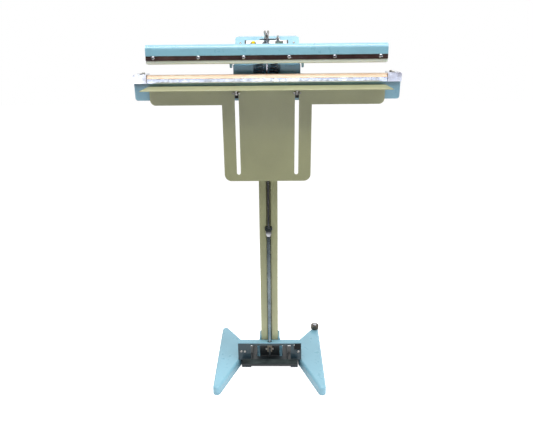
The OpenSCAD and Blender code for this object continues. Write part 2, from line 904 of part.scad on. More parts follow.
// Two side arms, the web over the springs, and the flange that carries the jaw
module yoke()
    color(blue)
        opened()
            difference() {
                union() {
                    for (side = [-1, 1])
                        translate([side * (arm_x + arm_t / 2), 0, 0])
                            along_x(arm_t)
                                union() {
                                    translate([hinge_y, hinge_z]) circle(16);
                                    polygon([
                                        [hinge_y, hinge_z - 16],
                                        [hinge_y, hinge_z + 16],
                                        [cover_back + 1, 38],
                                        [cover_back + 1, 6],
                                        [-46, -7],
                                        [-26, -7],
                                        [-4, 6]
                                    ]);
                                }
                    box([-arm_x - 1, cover_back + 1, web_z], [arm_x + 1, web_back, web_z + web_t]);
                    box([-arm_x - 1, cover_back, strip_z], [arm_x + 1, cover_back + 3, web_z + web_t]);
                }
                x_rod(0, hinge_y, hinge_z, bush_r + fit / 2, 2 * (arm_x + arm_t + 5));
                hull()
                    for (y = [rod_y - 2, rod_y + 1])
                        translate([0, y, web_z - 5]) cylinder(r = rod_d / 2 + 2.5, h = 20, $fn = 32);
            }

module return_spring(x)
    color(slate)
        translate([x, rod_y, seal_z + recess_floor])
            coil(spring_r, spring_wire, 95.5, 11);

module return_spring_left() return_spring(-spring_x);
module return_spring_right() return_spring(spring_x);

// Switch on the web, under the screw on the bridge bar, bored for its plunger
module microswitch()
    color(black)
        opened()
            translate([switch_x, rod_y, web_z + web_t])
                difference() {
                    union() {
                        box([-5, -12, 0], [5, 12, switch_h]);
                        box([-7, -9, 0], [7, 9, 4]);
                    }
                    translate([0, 0, switch_h - 5]) cylinder(r = plunger_r + fit, h = 6);
                }

module switch_plunger()
    color([0.05, 0.35, 0.25])
        opened()
            translate([switch_x, rod_y, web_z + web_t + switch_h - 3])
                cylinder(r = plunger_r, h = 5.2);

// Outline of the upper jaw's cover, in Y and Z
module cover_outline(inset)
    top_rounded(cover_front + inset, cover_back - inset, cover_z - (inset > 0 ? 1 : 0),
        cover_z + cover_h - inset, 13 - inset, 9 - inset);

module upper_jaw_cover()
    color(blue)
        opened()
            difference() {
                along_x(jaw_length) cover_outline(0);
                along_x(jaw_length - 3) cover_outline(1.5);
            }

module upper_jaw_bar()
    color(chrome)
        opened()
            difference() {
                box([-jaw_length / 2, cover_front + 2, strip_z], [jaw_length / 2, cover_back - 1, cover_z]);
                for (i = [0 : jaw_screw_count - 1])
                    y_rod(jaw_screw_x(i), jaw_screw_z, 2 + fit, cover_front, cover_front + 20);
            }

module silicone_strip()
    color([0.93, 0.93, 0.86])
        opened()
            box([-jaw_length / 2, cover_front + 5, gap], [jaw_length / 2, cover_front + 27, strip_z]);

module jaw_screws()
    color(chrome)
        opened()
            for (i = [0 : jaw_screw_count - 1])
                translate([jaw_screw_x(i), cover_front + 2, jaw_screw_z])
                    rotate([90, 0, 0])
                        pan_screw(4.6, 3, 2, 16);

// ---- lower jaw ----

module lower_beam()
    color(blue)
        at_head()
            difference() {
                intersection() {
                    along_x(beam_length)
                        translate([beam_front, beam_floor])
                            square([beam_back - beam_front, beam_roof - beam_floor]);
                    along_y(beam_front - 1, beam_back + 1)
                        bottom_rounded(-beam_length / 2, beam_length / 2, beam_floor, beam_roof, 7);
                }
                box([-beam_length / 2 + 2, beam_front + 2, beam_floor + 2],
                    [beam_length / 2 - 2, beam_back - 2, beam_roof - 2]);
                for (side = [-1, 1])
                    y_rod(side * slot_pitch / 2, bolt_z, bolt_r + fit, beam_front - 1, beam_front + 5);
            }

module sealing_bar()
    color(chrome)
        at_head()
            along_x(2 * bar_half)
                polygon([[bar_front, beam_roof], [bar_front, bar_step], [-90, bar_step], [-84, -1.8],
                    [-64, -1.8], [-59, bar_step], [bar_back, bar_step], [bar_back, beam_roof]]);

module insulation_strip()
    color(black)
        at_head() box([-bar_half, seal_y - 6, -1.8], [bar_half, seal_y + 6, -1.1]);

module heating_element()
    color(steel)
        at_head() box([-bar_half, seal_y - 2, -1.1], [bar_half, seal_y + 2, -0.8]);

// Woven tape laid over the element and down both slopes
module ptfe_tape()
    color(tan)
        at_head()
            along_x(2 * bar_half)
                polygon([[-91.2, bar_step], [-84.2, 0], [-63.8, 0], [-58.2, bar_step], [-59, bar_step],
                    [-64, -0.8], [-84, -0.8], [-90, bar_step]]);

// Shell over the end of the sealing bar, drawn for +X
module terminal_cover()
    at_head()
        difference() {
            along_y(bar_front - 1, -50)
                top_rounded(cap_x, beam_length / 2, beam_roof, 3, 2, 6);
            translate([0, 0, -0.1])
                along_y(bar_front + 0.5, -51.5)
                    top_rounded(cap_x + 1.5, beam_length / 2 - 1.5, beam_roof - 1, 1.6, 1, 4.5);
            for (y = terminal_y) translate([cap_x + 14, y, -4]) cylinder(r = 1.6, h = 10);
        }

module terminal_cover_left() color(chrome) mirror([1, 0, 0]) terminal_cover();
module terminal_cover_right() color(chrome) terminal_cover();

module terminal_blocks()
    color(brass)
        at_head()
            for (side = [-1, 1])
                mirror([side < 0 ? 1 : 0, 0, 0])
                    difference() {
                        box([cap_x + 5, -88, beam_roof], [cap_x + 24, -55, -5]);
                        for (y = terminal_y)
                            translate([cap_x + 14, y, beam_roof - 1]) cylinder(r = 1.6, h = 30);
                    }

module terminal_screws()
    color(steel)
        at_head()
            for (side = [-1, 1])
                mirror([side < 0 ? 1 : 0, 0, 0])
                    for (y = terminal_y)
                        translate([cap_x + 14, y, 3]) pan_screw(4, 3.4, 1.5, 16);

// ---- work table ----

module work_table()
    color(cream)
        at_head()
            union() {
                // Shelf, and the bend down to the upright sheet
                box([-table_w / 2, table_front, shelf_z - sheet_t], [table_w / 2, table_y - 1.5, shelf_z]);
                along_x(table_w)
                    translate([table_y - 1.5, shelf_z - 3])
                        intersection() {
                            difference() {
                                circle(3);
                                circle(1.5);
                            }
                            square([4, 4]);
                        }
                difference() {
                    along_y(table_y, table_y + sheet_t)
                        union() {
                            bottom_rounded(-table_w / 2, table_w / 2, shelf_z - 50, shelf_z - 3, 14);
                            bottom_rounded(-stem_w / 2, stem_w / 2, shelf_z - stem_drop, shelf_z - 3, 19);
                        }
                    for (side = [-1, 1])
                        translate([side * slot_pitch / 2, 0, 0])
                            along_y(table_y - 1, table_y + sheet_t + 1)
                                slot_outline(shelf_z - stem_drop + 24, bolt_z + 5, slot_w / 2);
                }
            }

// Wing bolt through a slot into the beam
module wing_bolt(side)
    color(slate)
        at_head()
            translate([side * slot_pitch / 2, 0, bolt_z])
                union() {
                    y_rod(0, 0, bolt_r, table_y - 10, beam_front + 8);
                    y_rod(0, 0, 6.5, table_y - 11, table_y - 0.8);
                    for (wing = [-1, 1])
                        hull() {
                            y_rod(wing * 4, 0, 3, table_y - 10, table_y - 7);
                            y_rod(wing * 8, 0, 2.5, table_y - 15, table_y - 12.5);
                        }
                }

module wing_bolt_left() wing_bolt(-1);
module wing_bolt_right() wing_bolt(1);

left_foot();
right_foot();
crossmember();
base_plate();
column();
base_bolts();
rubber_feet();
levelling_screw();
pedal_plate();
pedal_pad();
pedal_bushes();
pedal_pivot_pin();
retaining_clips();
rod_clevis();
clevis_pin();
lower_rod();
rod_coupling();
rod_adjuster();
upper_rod();
body_housing();
rear_cover();
body_floor();
control_panel();
housing_screws();
indicator_lamp();
panel_bezels();
timer_knob();
power_rocker();
transformer_core();
transformer_coil();
timer_board();
power_inlet();
fuse_holder();
hinge_shaft();
hinge_bushes();
yoke();
return_spring_left();
return_spring_right();
pressure_spring();
pressure_plate();
pressure_wing_nut();
switch_screw();
microswitch();
switch_plunger();
upper_jaw_cover();
upper_jaw_bar();
silicone_strip();
jaw_screws();
lower_beam();
sealing_bar();
insulation_strip();
heating_element();
ptfe_tape();
terminal_cover_left();
terminal_cover_right();
terminal_screws();
terminal_blocks();
work_table();
wing_bolt_left();
wing_bolt_right();
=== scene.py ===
"""Looks of a foot-operated impulse heat sealer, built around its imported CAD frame.

Metres, in the frame's own axes: +X to the operator's right, -Y towards the operator, +Z up.
"""

import json
import math
import random

import bmesh
import bpy
from mathutils import Matrix, Vector


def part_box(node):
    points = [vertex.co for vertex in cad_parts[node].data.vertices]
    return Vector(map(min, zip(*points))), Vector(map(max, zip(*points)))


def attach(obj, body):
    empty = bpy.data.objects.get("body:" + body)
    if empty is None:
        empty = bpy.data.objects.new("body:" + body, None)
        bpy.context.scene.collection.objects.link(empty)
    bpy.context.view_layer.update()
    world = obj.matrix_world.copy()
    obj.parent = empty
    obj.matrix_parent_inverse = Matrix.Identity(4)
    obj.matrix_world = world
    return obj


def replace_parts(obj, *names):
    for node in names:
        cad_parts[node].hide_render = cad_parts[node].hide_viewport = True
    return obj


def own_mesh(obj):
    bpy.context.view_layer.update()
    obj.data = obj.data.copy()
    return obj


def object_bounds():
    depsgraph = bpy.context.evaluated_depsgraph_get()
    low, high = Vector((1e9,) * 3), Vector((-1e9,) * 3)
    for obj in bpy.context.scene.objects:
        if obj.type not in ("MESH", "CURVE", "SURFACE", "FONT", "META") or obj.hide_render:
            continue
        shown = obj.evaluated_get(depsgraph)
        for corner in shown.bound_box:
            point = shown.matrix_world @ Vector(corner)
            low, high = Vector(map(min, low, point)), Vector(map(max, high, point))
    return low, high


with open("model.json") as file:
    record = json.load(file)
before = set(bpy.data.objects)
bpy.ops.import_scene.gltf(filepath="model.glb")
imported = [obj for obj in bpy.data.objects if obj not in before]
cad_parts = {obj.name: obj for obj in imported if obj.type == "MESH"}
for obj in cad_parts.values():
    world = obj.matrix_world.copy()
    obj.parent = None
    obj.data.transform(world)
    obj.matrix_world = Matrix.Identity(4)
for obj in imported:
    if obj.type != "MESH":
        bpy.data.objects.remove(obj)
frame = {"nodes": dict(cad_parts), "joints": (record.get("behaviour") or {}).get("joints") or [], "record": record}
CAD_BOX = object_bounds()
NODES = frame["nodes"]
BODY_OF = {node: body for body, members in frame["record"]["behaviour"]["bodies"].items() for node in members}
SLOT_OF = {part["node"]: part["material_slot"] for part in frame["record"]["subparts"]}
JOINTS = {joint["name"]: joint for joint in frame["joints"]}
MM = 0.001

# The camera that the photo was fitted to: metres, degrees, and millimetres for the lens
CAMERA_PLACE = (0.0241, -1.448, 1.077)
CAMERA_PITCH, CAMERA_YAW, CAMERA_ROLL = 20.33, -1.19, -0.67
CAMERA_LENS = 34.42

# How far the tape slopes down in front of and behind its flat top
TAPE_FRONT_SLOPE = 7 * MM
TAPE_REAR_SLOPE = 5.6 * MM
TAPE_THICKNESS = 0.2 * MM

# Half the width of the line between two colours of paint
PAINT_LINE = 0.0003

# Vertices of the CAD mesh that are nearer than this are one point
WELD_DISTANCE = 2e-6


# ---- camera, world and lights ----

def make_camera():
    """A standing person's view from in front, looking slightly down."""
    pitch, yaw, roll = (math.radians(angle) for angle in (CAMERA_PITCH, CAMERA_YAW, CAMERA_ROLL))
    forward = Vector((math.sin(yaw) * math.cos(pitch), math.cos(yaw) * math.cos(pitch), -math.sin(pitch)))
    level = Vector((math.cos(yaw), -math.sin(yaw), 0))
    upright = level.cross(forward)
    right = level * math.cos(roll) + upright * math.sin(roll)
    up = upright * math.cos(roll) - level * math.sin(roll)
    camera = bpy.data.objects.new("camera", bpy.data.cameras.new("camera"))
    bpy.context.scene.collection.objects.link(camera)
    turn = Matrix((right, up, -forward)).transposed().to_4x4()
    camera.matrix_world = Matrix.Translation(CAMERA_PLACE) @ turn
    camera.data.lens = CAMERA_LENS
    camera.data.sensor_width = 36
    camera.data.clip_end = 60
    bpy.context.scene.camera = camera


def make_world():
    """White where the camera sees it; for light and reflections, bright above and behind, dim in front."""
    world = bpy.data.worlds.new("studio")
    world.use_nodes = True
    bpy.context.scene.world = world
    tree = world.node_tree
    new = tree.nodes.new
    link = tree.links.new
    coordinate = new("ShaderNodeTexCoord")
    rise = new("ShaderNodeVectorMath")
    rise.operation = "DOT_PRODUCT"
    rise.inputs[1].default_value = (0.08, 0.75, 1.0)
    link(coordinate.outputs["Generated"], rise.inputs[0])
    blotches = new("ShaderNodeTexNoise")
    blotches.inputs["Scale"].default_value = 4.5
    blotches.inputs["Detail"].default_value = 3
    link(coordinate.outputs["Generated"], blotches.inputs["Vector"])
    lift = new("ShaderNodeMath")
    lift.operation = "MULTIPLY_ADD"
    lift.inputs[1].default_value = 0.5
    link(blotches.outputs["Fac"], lift.inputs[0])
    link(rise.outputs["Value"], lift.inputs[2])
    level = new("ShaderNodeMapRange")
    level.inputs["From Min"].default_value = -0.8
    level.inputs["From Max"].default_value = 1.4
    link(lift.outputs[0], level.inputs["Value"])
    room = new("ShaderNodeValToRGB")
    fill_ramp(room, [(0.0, (0.10, 0.07, 0.07)), (0.20, (0.035, 0.022, 0.022)), (0.30, (0.12, 0.065, 0.055)),
                     (0.38, (0.13, 0.13, 0.15)), (0.52, (0.50, 0.52, 0.56)), (0.72, (0.95, 0.98, 1.0)),
                     (1.0, (1.0, 1.0, 1.0))])
    link(level.outputs[0], room.inputs[0])
    rays = new("ShaderNodeLightPath")
    mix = new("ShaderNodeMix")
    mix.data_type = "RGBA"
    link(rays.outputs["Is Camera Ray"], mix.inputs["Factor"])
    link(room.outputs["Color"], mix.inputs[6])
    mix.inputs[7].default_value = (1, 1, 1, 1)
    link(mix.outputs[2], tree.nodes["Background"].inputs["Color"])
    tree.nodes["Background"].inputs["Strength"].default_value = 1.0


def area_light(name, place, target, width, depth, power, colour):
    """A soft rectangular light that faces its target."""
    light = bpy.data.lights.new(name, "AREA")
    light.shape = "RECTANGLE"
    light.size = width
    light.size_y = depth
    light.energy = power
    light.color = colour
    lamp = bpy.data.objects.new(name, light)
    bpy.context.scene.collection.objects.link(lamp)
    lamp.location = place
    lamp.rotation_euler = (Vector(target) - Vector(place)).to_track_quat("-Z", "Y").to_euler()


def make_floor():
    """A plain floor that the camera sees white; its colour is white near the object and dark further off, a
    painted pool of light for the bounce.
    """
    half = 6.0
    corners = [(-half, -half), (half, -half), (half, half), (-half, half)]
    mesh = bpy.data.meshes.new("floor")
    mesh.from_pydata([(x, y, CAD_BOX[0][2] - 0.0002) for x, y in corners], [], [(0, 1, 2, 3)])
    floor = bpy.data.objects.new("floor", mesh)
    bpy.context.scene.collection.objects.link(floor)
    white = Finish("floor", Roughness=0.9, Specular_IOR_Level=0.0)
    away = white.add("ShaderNodeVectorMath")
    away.operation = "LENGTH"
    white.tree.links.new(white.place, away.inputs[0])
    # Painted pool of light: the floor's colour fades from white near the object to dark further off
    share = white.span(away.outputs["Value"], 0.5, 1.1, 0.85, 0.05)
    white.set("Base Color", white.blend(share, (0.0, 0.0, 0.0), (1.0, 1.0, 1.0)))
    white.shader.inputs["Emission Color"].default_value = (1, 1, 1, 1)
    seen = white.add("ShaderNodeLightPath").outputs["Is Camera Ray"]
    white.set("Emission Strength", seen)
    mesh.materials.append(white.material)


def make_card():
    """A low reflector card behind the camera: what upright chrome faces reflect."""
    half, near, far, foot, top = 4.0, -4.0, -4.1, 0.02, 0.66
    corners = [(-half, near, foot), (half, near, foot), (half, far, top), (-half, far, top)]
    mesh = bpy.data.meshes.new("card")
    mesh.from_pydata(corners, [], [(0, 1, 2, 3)])
    card = bpy.data.objects.new("card", mesh)
    bpy.context.scene.collection.objects.link(card)
    glow = Finish("card", Roughness=0.9, Specular_IOR_Level=0.0)
    blotches = glow.span(glow.noise(1.6, 4, 0.6), 0.38, 0.62)
    glow.set("Emission Color", glow.blend(blotches, (0.50, 0.60, 0.86), (1.0, 1.0, 1.0)))
    glow.set("Emission Strength", glow.span(blotches, 0.0, 1.0, 0.9, 1.9))
    mesh.materials.append(glow.material)


def fill_ramp(ramp, stops):
    """Sets a colour ramp's stops: a list of (position, colour)."""
    elements = ramp.color_ramp.elements
    while len(elements) > 1:
        elements.remove(elements[-1])
    elements[0].position = stops[0][0]
    elements[0].color = (*stops[0][1], 1)
    for position, colour in stops[1:]:
        elements.new(position).color = (*colour, 1)


# ---- finishes ----

def tone(red, green, blue):
    """A colour given as 0 to 255, as the linear values that shaders use."""
    def linear(value):
        share = value / 255
        return share / 12.92 if share <= 0.04045 else ((share + 0.055) / 1.055) ** 2.4
    return (linear(red), linear(green), linear(blue))


class Finish:
    """One material's node tree. Each method adds a node and returns its output socket."""

    def __init__(self, slot, **surface):
        self.material = bpy.data.materials.new(slot + "_finish")
        self.material.use_nodes = True
        self.tree = self.material.node_tree
        self.shader = self.tree.nodes["Principled BSDF"]
        self.place = self.add("ShaderNodeTexCoord").outputs["Object"]
        for name, value in surface.items():
            self.shader.inputs[name.replace("_", " ")].default_value = value

    def add(self, kind, **values):
        node = self.tree.nodes.new(kind)
        for name, value in values.items():
            if hasattr(value, "is_output"):
                self.tree.links.new(value, node.inputs[name.replace("_", " ")])
            else:
                node.inputs[name.replace("_", " ")].default_value = value
        return node

    def stretched(self, x, y, z):
        """Object coordinates, scaled by axis."""
        return self.add("ShaderNodeMapping", Vector=self.place, Scale=(x, y, z)).outputs[0]

    def noise(self, scale, detail=3.0, roughness=0.5, stretch=(1, 1, 1)):
        where = self.stretched(*stretch) if stretch != (1, 1, 1) else self.place
        return self.add("ShaderNodeTexNoise", Vector=where, Scale=scale, Detail=detail,
                        Roughness=roughness).outputs["Fac"]

    def threads(self, scale, axis):
        """Fine parallel ridges across one axis."""
        node = self.add("ShaderNodeTexWave", Vector=self.place, Scale=scale, Distortion=0.6,
                        Detail=1.0, Detail_Scale=0.4)
        node.bands_direction = axis
        return node.outputs["Fac"]

    def span(self, value, low, high, to_low=0.0, to_high=1.0):
        """Maps low..high to to_low..to_high, and holds it there."""
        node = self.add("ShaderNodeMapRange", Value=value, To_Min=to_low, To_Max=to_high)
        node.inputs["From Min"].default_value = low
        node.inputs["From Max"].default_value = high
        return node.outputs[0]

    def maths(self, operation, first, second):
        node = self.add("ShaderNodeMath")
        node.operation = operation
        for socket, value in zip(node.inputs, (first, second)):
            if hasattr(value, "is_output"):
                self.tree.links.new(value, socket)
            else:
                socket.default_value = value
        return node.outputs[0]

    def blend(self, share, first, second, how="MIX"):
        """Mixes two colours, each a socket or linear values."""
        node = self.add("ShaderNodeMix")
        node.data_type = "RGBA"
        node.blend_type = how
        for index, value in ((0, share), (6, first), (7, second)):
            if hasattr(value, "is_output"):
                self.tree.links.new(value, node.inputs[index])
            else:
                node.inputs[index].default_value = (*value, 1) if index else value
        return node.outputs[2]

    def edges(self, radius):
        """1 along the edges of the shape, 0 on its faces, broken up by noise."""
        soft = self.add("ShaderNodeBevel", Radius=radius)
        soft.samples = 4
        sharp = self.add("ShaderNodeNewGeometry").outputs["Normal"]
        turn = self.add("ShaderNodeVectorMath")
        turn.operation = "DOT_PRODUCT"
        self.tree.links.new(soft.outputs[0], turn.inputs[0])
        self.tree.links.new(sharp, turn.inputs[1])
        edge = self.span(turn.outputs["Value"], 0.98, 0.80)
        return self.maths("MULTIPLY", edge, self.span(self.noise(160, 4), 0.40, 0.62))

    def hollows(self, distance):
        """1 in corners and hollows, where shade falls, 0 in the open: ambient occlusion for painted shade."""
        shade = self.add("ShaderNodeAmbientOcclusion", Distance=distance)
        shade.samples = 6
        return self.span(shade.outputs["AO"], 0.75, 0.25)

    def relief(self, height, depth, strength=1.0, below=None):
        """Bumps the surface by height times depth, on top of an earlier bump."""
        node = self.add("ShaderNodeBump", Height=height, Distance=depth, Strength=strength)
        if below is not None:
            self.tree.links.new(below, node.inputs["Normal"])
        return node.outputs[0]

    def step(self, value, height):
        """0 below a height, 1 above it."""
        return self.span(value, height - PAINT_LINE, height + PAINT_LINE)

    def set(self, name, value):
        self.tree.links.new(value, self.shader.inputs[name])


def paint(slot, colour, worn, roughness, coat=0.0, below=None, split=None):
    """Sprayed enamel: orange peel, faint mottling, thin edges, and painted shade in the corners in dust-like
    patches.

    Where below is a second colour, split(finish) is 1 where the first colour shows."""
    finish = Finish(slot, Coat_Weight=coat, Coat_Roughness=0.14, Specular_IOR_Level=0.7)
    mottle = finish.span(finish.noise(9, 4), 0.3, 0.7)
    flecks = finish.span(finish.noise(420, 2), 0.55, 0.75)
    if below is not None:
        colour = finish.blend(split(finish), below, colour)
        body = finish.blend(finish.maths("MULTIPLY", mottle, 0.16), colour, (0.0, 0.0, 0.0))
    else:
        darker = tuple(channel * 0.86 for channel in colour)
        body = finish.blend(mottle, colour, darker)
    body = finish.blend(finish.maths("MULTIPLY", flecks, 0.10), body, worn)
    # Painted shade: ambient occlusion darkens corners and hollows towards grey, broken into dust-like patches
    patches = finish.span(finish.noise(38, 4), 0.25, 0.8, 0.1, 0.5)
    corner_shade_and_dust = finish.maths("MULTIPLY", finish.hollows(0.02), patches)
    body = finish.blend(corner_shade_and_dust, body, tone(60, 62, 60))
    body = finish.blend(finish.maths("MULTIPLY", finish.edges(0.0009), 0.55), body, worn)
    finish.set("Base Color", body)
    finish.set("Roughness", finish.span(finish.noise(60, 4), 0.3, 0.7, roughness - 0.05, roughness + 0.09))
    waves = finish.relief(finish.noise(360, 2, 0.45), 0.00006, 0.5)
    finish.set("Normal", finish.relief(finish.noise(24, 2), 0.0002, 0.25, waves))
    return finish.material


def metal(slot, colour, roughness, brushed=(1, 1, 1), stain=None, worn=None):
    """Bare or plated metal, with its tool marks, handling marks and stains."""
    finish = Finish(slot, Metallic=1.0)
    cloud = finish.span(finish.noise(26, 4), 0.35, 0.7)
    stain = stain or tuple(channel * 0.72 for channel in colour)
    body = finish.blend(cloud, colour, stain)
    # Painted shade: ambient occlusion darkens small corners and gaps towards near-black brown
    body = finish.blend(finish.maths("MULTIPLY", finish.hollows(0.004), 0.7), body, tone(40, 36, 32))
    if worn:
        body = finish.blend(finish.edges(0.0005), body, worn)
    finish.set("Base Color", body)
    smear = finish.noise(90, 4)
    finish.set("Roughness", finish.span(smear, 0.3, 0.75, max(roughness - 0.05, 0.03), roughness + 0.12))
    grain = finish.noise(700, 2, 0.6, brushed)
    finish.set("Normal", finish.relief(grain, 0.00001, 0.6))
    return finish.material


def rubber(slot, colour, pale, roughness=0.72):
    """Moulded rubber: matt, with dust and fine grain."""
    finish = Finish(slot, Specular_IOR_Level=0.35)
    body = finish.blend(finish.span(finish.noise(30, 5), 0.35, 0.75), colour, pale)
    body = finish.blend(finish.maths("MULTIPLY", finish.edges(0.0008), 0.5), body, pale)
    finish.set("Base Color", body)
    finish.set("Roughness", finish.span(finish.noise(120, 3), 0.3, 0.7, roughness - 0.08, roughness + 0.1))
    finish.set("Normal", finish.relief(finish.noise(900, 3, 0.6), 0.00008, 0.6))
    return finish.material


def plastic(slot, colour, roughness, coat=0.0):
    """Moulded plastic with a fine spark-eroded grain and polished edges."""
    finish = Finish(slot, Coat_Weight=coat, Coat_Roughness=0.08)
    lighter = tuple(min(channel * 1.5 + 0.012, 1) for channel in colour)
    body = finish.blend(finish.span(finish.noise(45, 4), 0.35, 0.8), colour, lighter)
    body = finish.blend(finish.maths("MULTIPLY", finish.edges(0.0005), 0.5), body, lighter)
    finish.set("Base Color", body)
    finish.set("Roughness", finish.span(finish.noise(150, 3), 0.3, 0.7, roughness - 0.06, roughness + 0.08))
    finish.set("Normal", finish.relief(finish.noise(1400, 2), 0.00003, 0.5))
    return finish.material


def woven_tape(slot):
    """Coated glass cloth: a tan plain weave, browned along the element."""
    finish = Finish(slot, Coat_Weight=0.7, Coat_Roughness=0.22)
    warp = finish.threads(380, "X")
    weft = finish.threads(380, "Y")
    weave = finish.maths("MAXIMUM", warp, weft)
    body = finish.blend(finish.span(weave, 0.3, 0.9), tone(206, 160, 120), tone(250, 222, 192))
    body = finish.blend(finish.span(finish.noise(14, 4), 0.45, 0.8), body, tone(232, 188, 148))
    split = finish.add("ShaderNodeSeparateXYZ", Vector=finish.place)
    low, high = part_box("heating_element")
    middle = (low.y + high.y) / 2
    away = finish.maths("ABSOLUTE", finish.maths("SUBTRACT", split.outputs["Y"], middle), 0.0)
    scorch = finish.span(away, 0.0048, 0.0012)
    scorch = finish.maths("MULTIPLY", scorch, finish.span(finish.noise(20, 5), 0.25, 0.75, 0.05, 0.35))
    body = finish.blend(scorch, body, tone(176, 122, 84))
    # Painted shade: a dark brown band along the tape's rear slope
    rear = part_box("ptfe_tape")[1].y - TAPE_REAR_SLOPE
    fold = finish.span(split.outputs["Y"], rear - 1.6 * MM, rear - 0.4 * MM)
    finish.set("Base Color", finish.blend(fold, body, tone(116, 66, 40)))
    finish.set("Roughness", finish.span(finish.noise(70, 3), 0.3, 0.7, 0.38, 0.55))
    finish.set("Normal", finish.relief(weave, 0.00006, 0.7))
    return finish.material


def silicone(slot):
    """Cast silicone rubber: pale, slightly waxy, with painted shade in its corners and hollows."""
    finish = Finish(slot, Subsurface_Weight=0.12, Subsurface_Scale=0.004, Specular_IOR_Level=0.4)
    finish.shader.inputs["Subsurface Radius"].default_value = (1.0, 0.8, 0.5)
    body = finish.blend(finish.span(finish.noise(22, 4), 0.35, 0.75), tone(246, 250, 240), tone(230, 236, 220))
    # Painted shade: ambient occlusion darkens corners and hollows towards olive grey
    body = finish.blend(finish.maths("MULTIPLY", finish.hollows(0.006), 0.5), body, tone(150, 146, 120))
    finish.set("Base Color", body)
    finish.set("Roughness", finish.span(finish.noise(90, 3), 0.3, 0.7, 0.48, 0.66))
    finish.set("Normal", finish.relief(finish.noise(500, 3), 0.00005, 0.6))
    return finish.material


def laminations(slot):
    """Stacked core plates, seen as fine lines, with bluish scale."""
    finish = Finish(slot, Metallic=0.8)
    plates = finish.threads(320, "Y")
    body = finish.blend(plates, tone(58, 60, 66), tone(120, 118, 116))
    body = finish.blend(finish.span(finish.noise(40, 4), 0.45, 0.75), body, tone(92, 74, 62))
    finish.set("Base Color", body)
    finish.set("Roughness", finish.span(finish.noise(80, 3), 0.3, 0.7, 0.45, 0.65))
    finish.set("Normal", finish.relief(plates, 0.00015, 0.8))
    return finish.material


def winding(slot):
    """Enamelled copper wire under amber tape."""
    finish = Finish(slot, Coat_Weight=0.5, Coat_Roughness=0.2)
    turns = finish.threads(260, "Z")
    body = finish.blend(turns, tone(110, 56, 22), tone(204, 128, 62))
    body = finish.blend(finish.span(finish.noise(35, 4), 0.4, 0.75), body, tone(150, 90, 40))
    finish.set("Base Color", body)
    finish.set("Roughness", finish.span(finish.noise(80, 3), 0.3, 0.7, 0.3, 0.5))
    finish.set("Normal", finish.relief(turns, 0.0003, 0.8))
    return finish.material


def lens(slot):
    """Ribbed translucent yellow plastic, with a faint glow inside."""
    finish = Finish(slot, Coat_Weight=0.8, Coat_Roughness=0.05, Subsurface_Weight=0.3,
                    Subsurface_Scale=0.003, Emission_Strength=0.25)
    finish.shader.inputs["Emission Color"].default_value = (1.0, 0.80, 0.02, 1)
    finish.set("Base Color", finish.blend(finish.span(finish.noise(200, 2), 0.3, 0.7),
                                          tone(255, 224, 10), tone(246, 196, 0)))
    finish.set("Roughness", finish.span(finish.noise(300, 2), 0.3, 0.7, 0.10, 0.2))
    finish.set("Normal", finish.relief(finish.threads(900, "X"), 0.0001, 0.5))
    return finish.material


def above(height):
    """Picks the first colour of a two-colour part above a height."""
    def split(finish):
        level = finish.add("ShaderNodeSeparateXYZ", Vector=finish.place).outputs["Z"]
        return finish.step(level, height)
    return split


def gussets_and_rim(half, deck, rim):
    """Picks the first colour outside a half width above the deck, and everywhere above the rim."""
    def split(finish):
        place = finish.add("ShaderNodeSeparateXYZ", Vector=finish.place)
        across = finish.maths("ABSOLUTE", place.outputs["X"], 0.0)
        gusset = finish.maths("MULTIPLY", finish.step(across, half), finish.step(place.outputs["Z"], deck))
        return finish.maths("MAXIMUM", gusset, finish.step(place.outputs["Z"], rim))
    return split


